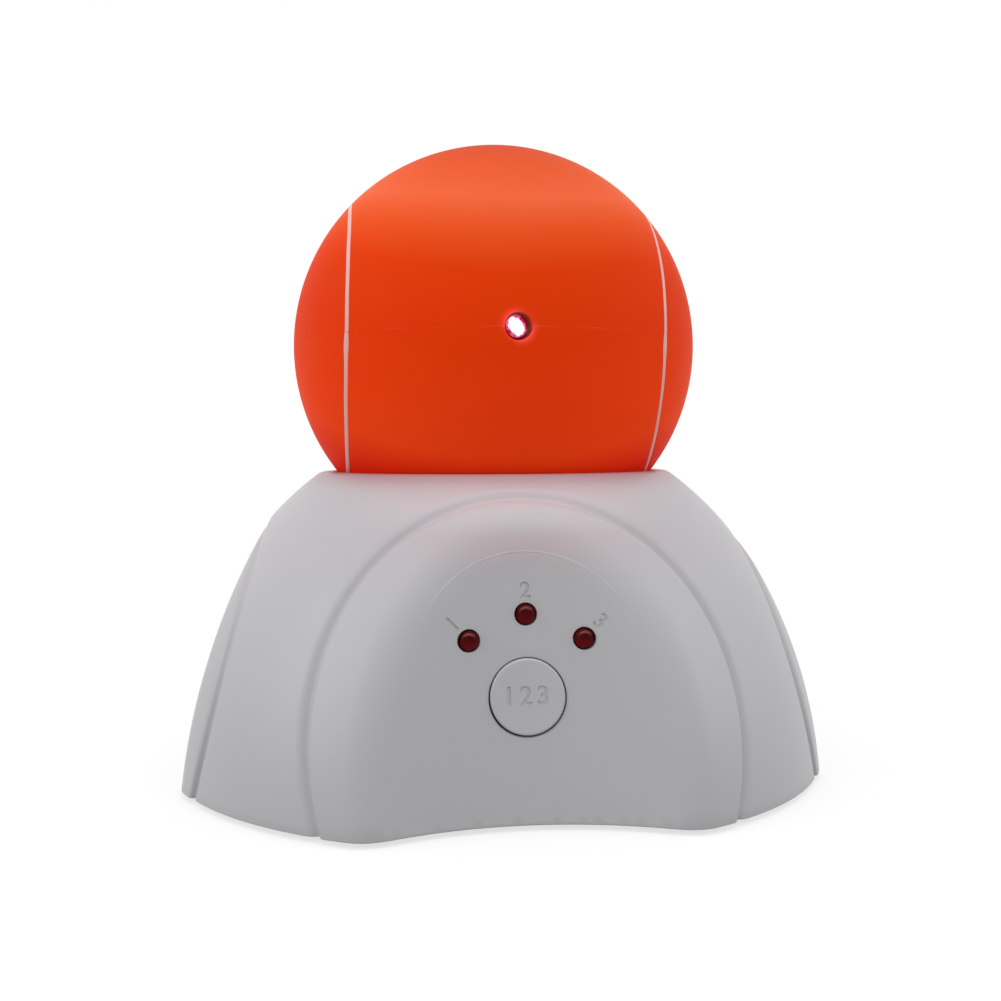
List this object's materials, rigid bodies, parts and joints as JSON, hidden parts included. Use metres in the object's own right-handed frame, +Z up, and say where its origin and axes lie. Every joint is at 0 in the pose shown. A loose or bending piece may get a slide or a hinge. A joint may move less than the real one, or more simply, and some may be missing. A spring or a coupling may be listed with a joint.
{
  "type": "automatic cat teaser ball",
  "caption": "Motor-driven ball with a laser pointer that turns on a domed, battery-powered base with a mode button and indicator lights, to keep a cat chasing the dot.",
  "frame": {"origin": "on the floor under the ball's axis, at the centre of the four feet", "axes": "+Z up along the ball's axis, front with the button towards -Y, +X to the right seen from the front"},
  "size_m": [0.1262, 0.122, 0.1289],
  "materials": {
    "white_shell": "fine satin moulded texture",
    "button_white": "satin",
    "plate_plastic": "satin",
    "ball_orange": "fine satin",
    "line_paint": "smooth paint",
    "led_lens": "clear dark red epoxy",
    "foot_rubber": "matt",
    "inner_plastic": "satin",
    "gear_plastic": "slippery, like acetal",
    "black_plastic": "satin",
    "steel": "bright zinc plate",
    "brass": "turned",
    "bronze": "sintered bronze",
    "board_green": "solder mask",
    "cell_wrap": "printed sleeve, plain",
    "lens_glass": "clear"
  },
  "bodies": {
    "base": {"base_shell": "white_shell", "base_plate": "plate_plastic", "base_plate_screws": "steel", "rubber_feet": "foot_rubber", "aa_cell_1": "cell_wrap", "aa_cell_2": "cell_wrap", "aa_cell_3": "cell_wrap", "contact_springs": "steel", "contact_plates": "steel", "tact_switch": "black_plastic", "led_left": "led_lens", "led_centre": "led_lens", "led_right": "led_lens", "control_board": "board_green", "controller_chip": "black_plastic", "board_screws": "steel", "mechanism_deck": "inner_plastic", "deck_screws": "steel", "gear_plate": "inner_plastic", "gear_plate_screws": "steel", "drive_motor": "steel", "motor_end_cap": "inner_plastic", "motor_screws": "steel", "first_gear_pin": "steel", "second_gear_pin": "steel", "shaft_bush": "bronze", "brush_holder": "black_plastic", "contact_brushes": "brass"},
    "ball": {"output_gear": "gear_plastic", "output_shaft": "steel", "shaft_clip": "steel", "slip_ring_board": "board_green", "slip_ring_tracks": "brass", "turntable": "inner_plastic", "turntable_screws": "steel", "ball_lower_shell": "ball_orange", "ball_upper_shell": "ball_orange", "ball_screws": "steel", "lower_line_fill": "line_paint", "upper_line_fill": "line_paint", "laser_barrel": "brass", "laser_lens": "lens_glass", "laser_board": "board_green", "laser_clamp": "inner_plastic", "clamp_screws": "steel"},
    "second_gear": {"second_reduction_gear": "gear_plastic"},
    "first_gear": {"first_reduction_gear": "gear_plastic"},
    "motor_rotor": {"motor_shaft": "steel", "motor_pinion": "brass"},
    "mode_button": {"mode_button": "button_white"},
    "switch_plunger": {"switch_plunger": "black_plastic"},
    "battery_door": {"battery_door": "plate_plastic"}
  },
  "joints": [
    {"name": "ball_spin", "type": "hinge", "parent": "base", "child": "ball", "pos_m": [0, 0, 0.05], "axis": [0, 0, 1], "continuous": true},
    {"name": "second_gear_spin", "type": "hinge", "parent": "base", "child": "second_gear", "pos_m": [-0.01691, -0.00616, 0.038], "axis": [0, 0, 1], "continuous": true},
    {"name": "first_gear_spin", "type": "hinge", "parent": "base", "child": "first_gear", "pos_m": [-0.01457, -0.02097, 0.035], "axis": [0, 0, 1], "continuous": true},
    {"name": "motor_spin", "type": "hinge", "parent": "base", "child": "motor_rotor", "pos_m": [-0.00008, -0.02485, 0.03], "axis": [0, 0, 1], "continuous": true},
    {"name": "mode_button_press", "type": "slide", "parent": "base", "child": "mode_button", "axis": [0, 1, 0], "range_m": [0, 0.0005], "stiffness_N_per_m": 1000},
    {"name": "switch_plunger_press", "type": "slide", "parent": "base", "child": "switch_plunger", "axis": [0, 1, 0], "range_m": [0, 0.0005]},
    {"name": "battery_door_swing", "type": "hinge", "parent": "base", "child": "battery_door", "pos_m": [0, 0.0369, 0.0025], "axis": [1, 0, 0], "range_deg": [0, 100]}
  ],
  "couplings": [
    {"joint": "second_gear_spin", "follows": "ball_spin", "ratio": -5},
    {"joint": "first_gear_spin", "follows": "ball_spin", "ratio": 25},
    {"joint": "motor_spin", "follows": "ball_spin", "ratio": -125},
    {"joint": "switch_plunger_press", "follows": "mode_button_press", "ratio": 1}
  ]
}
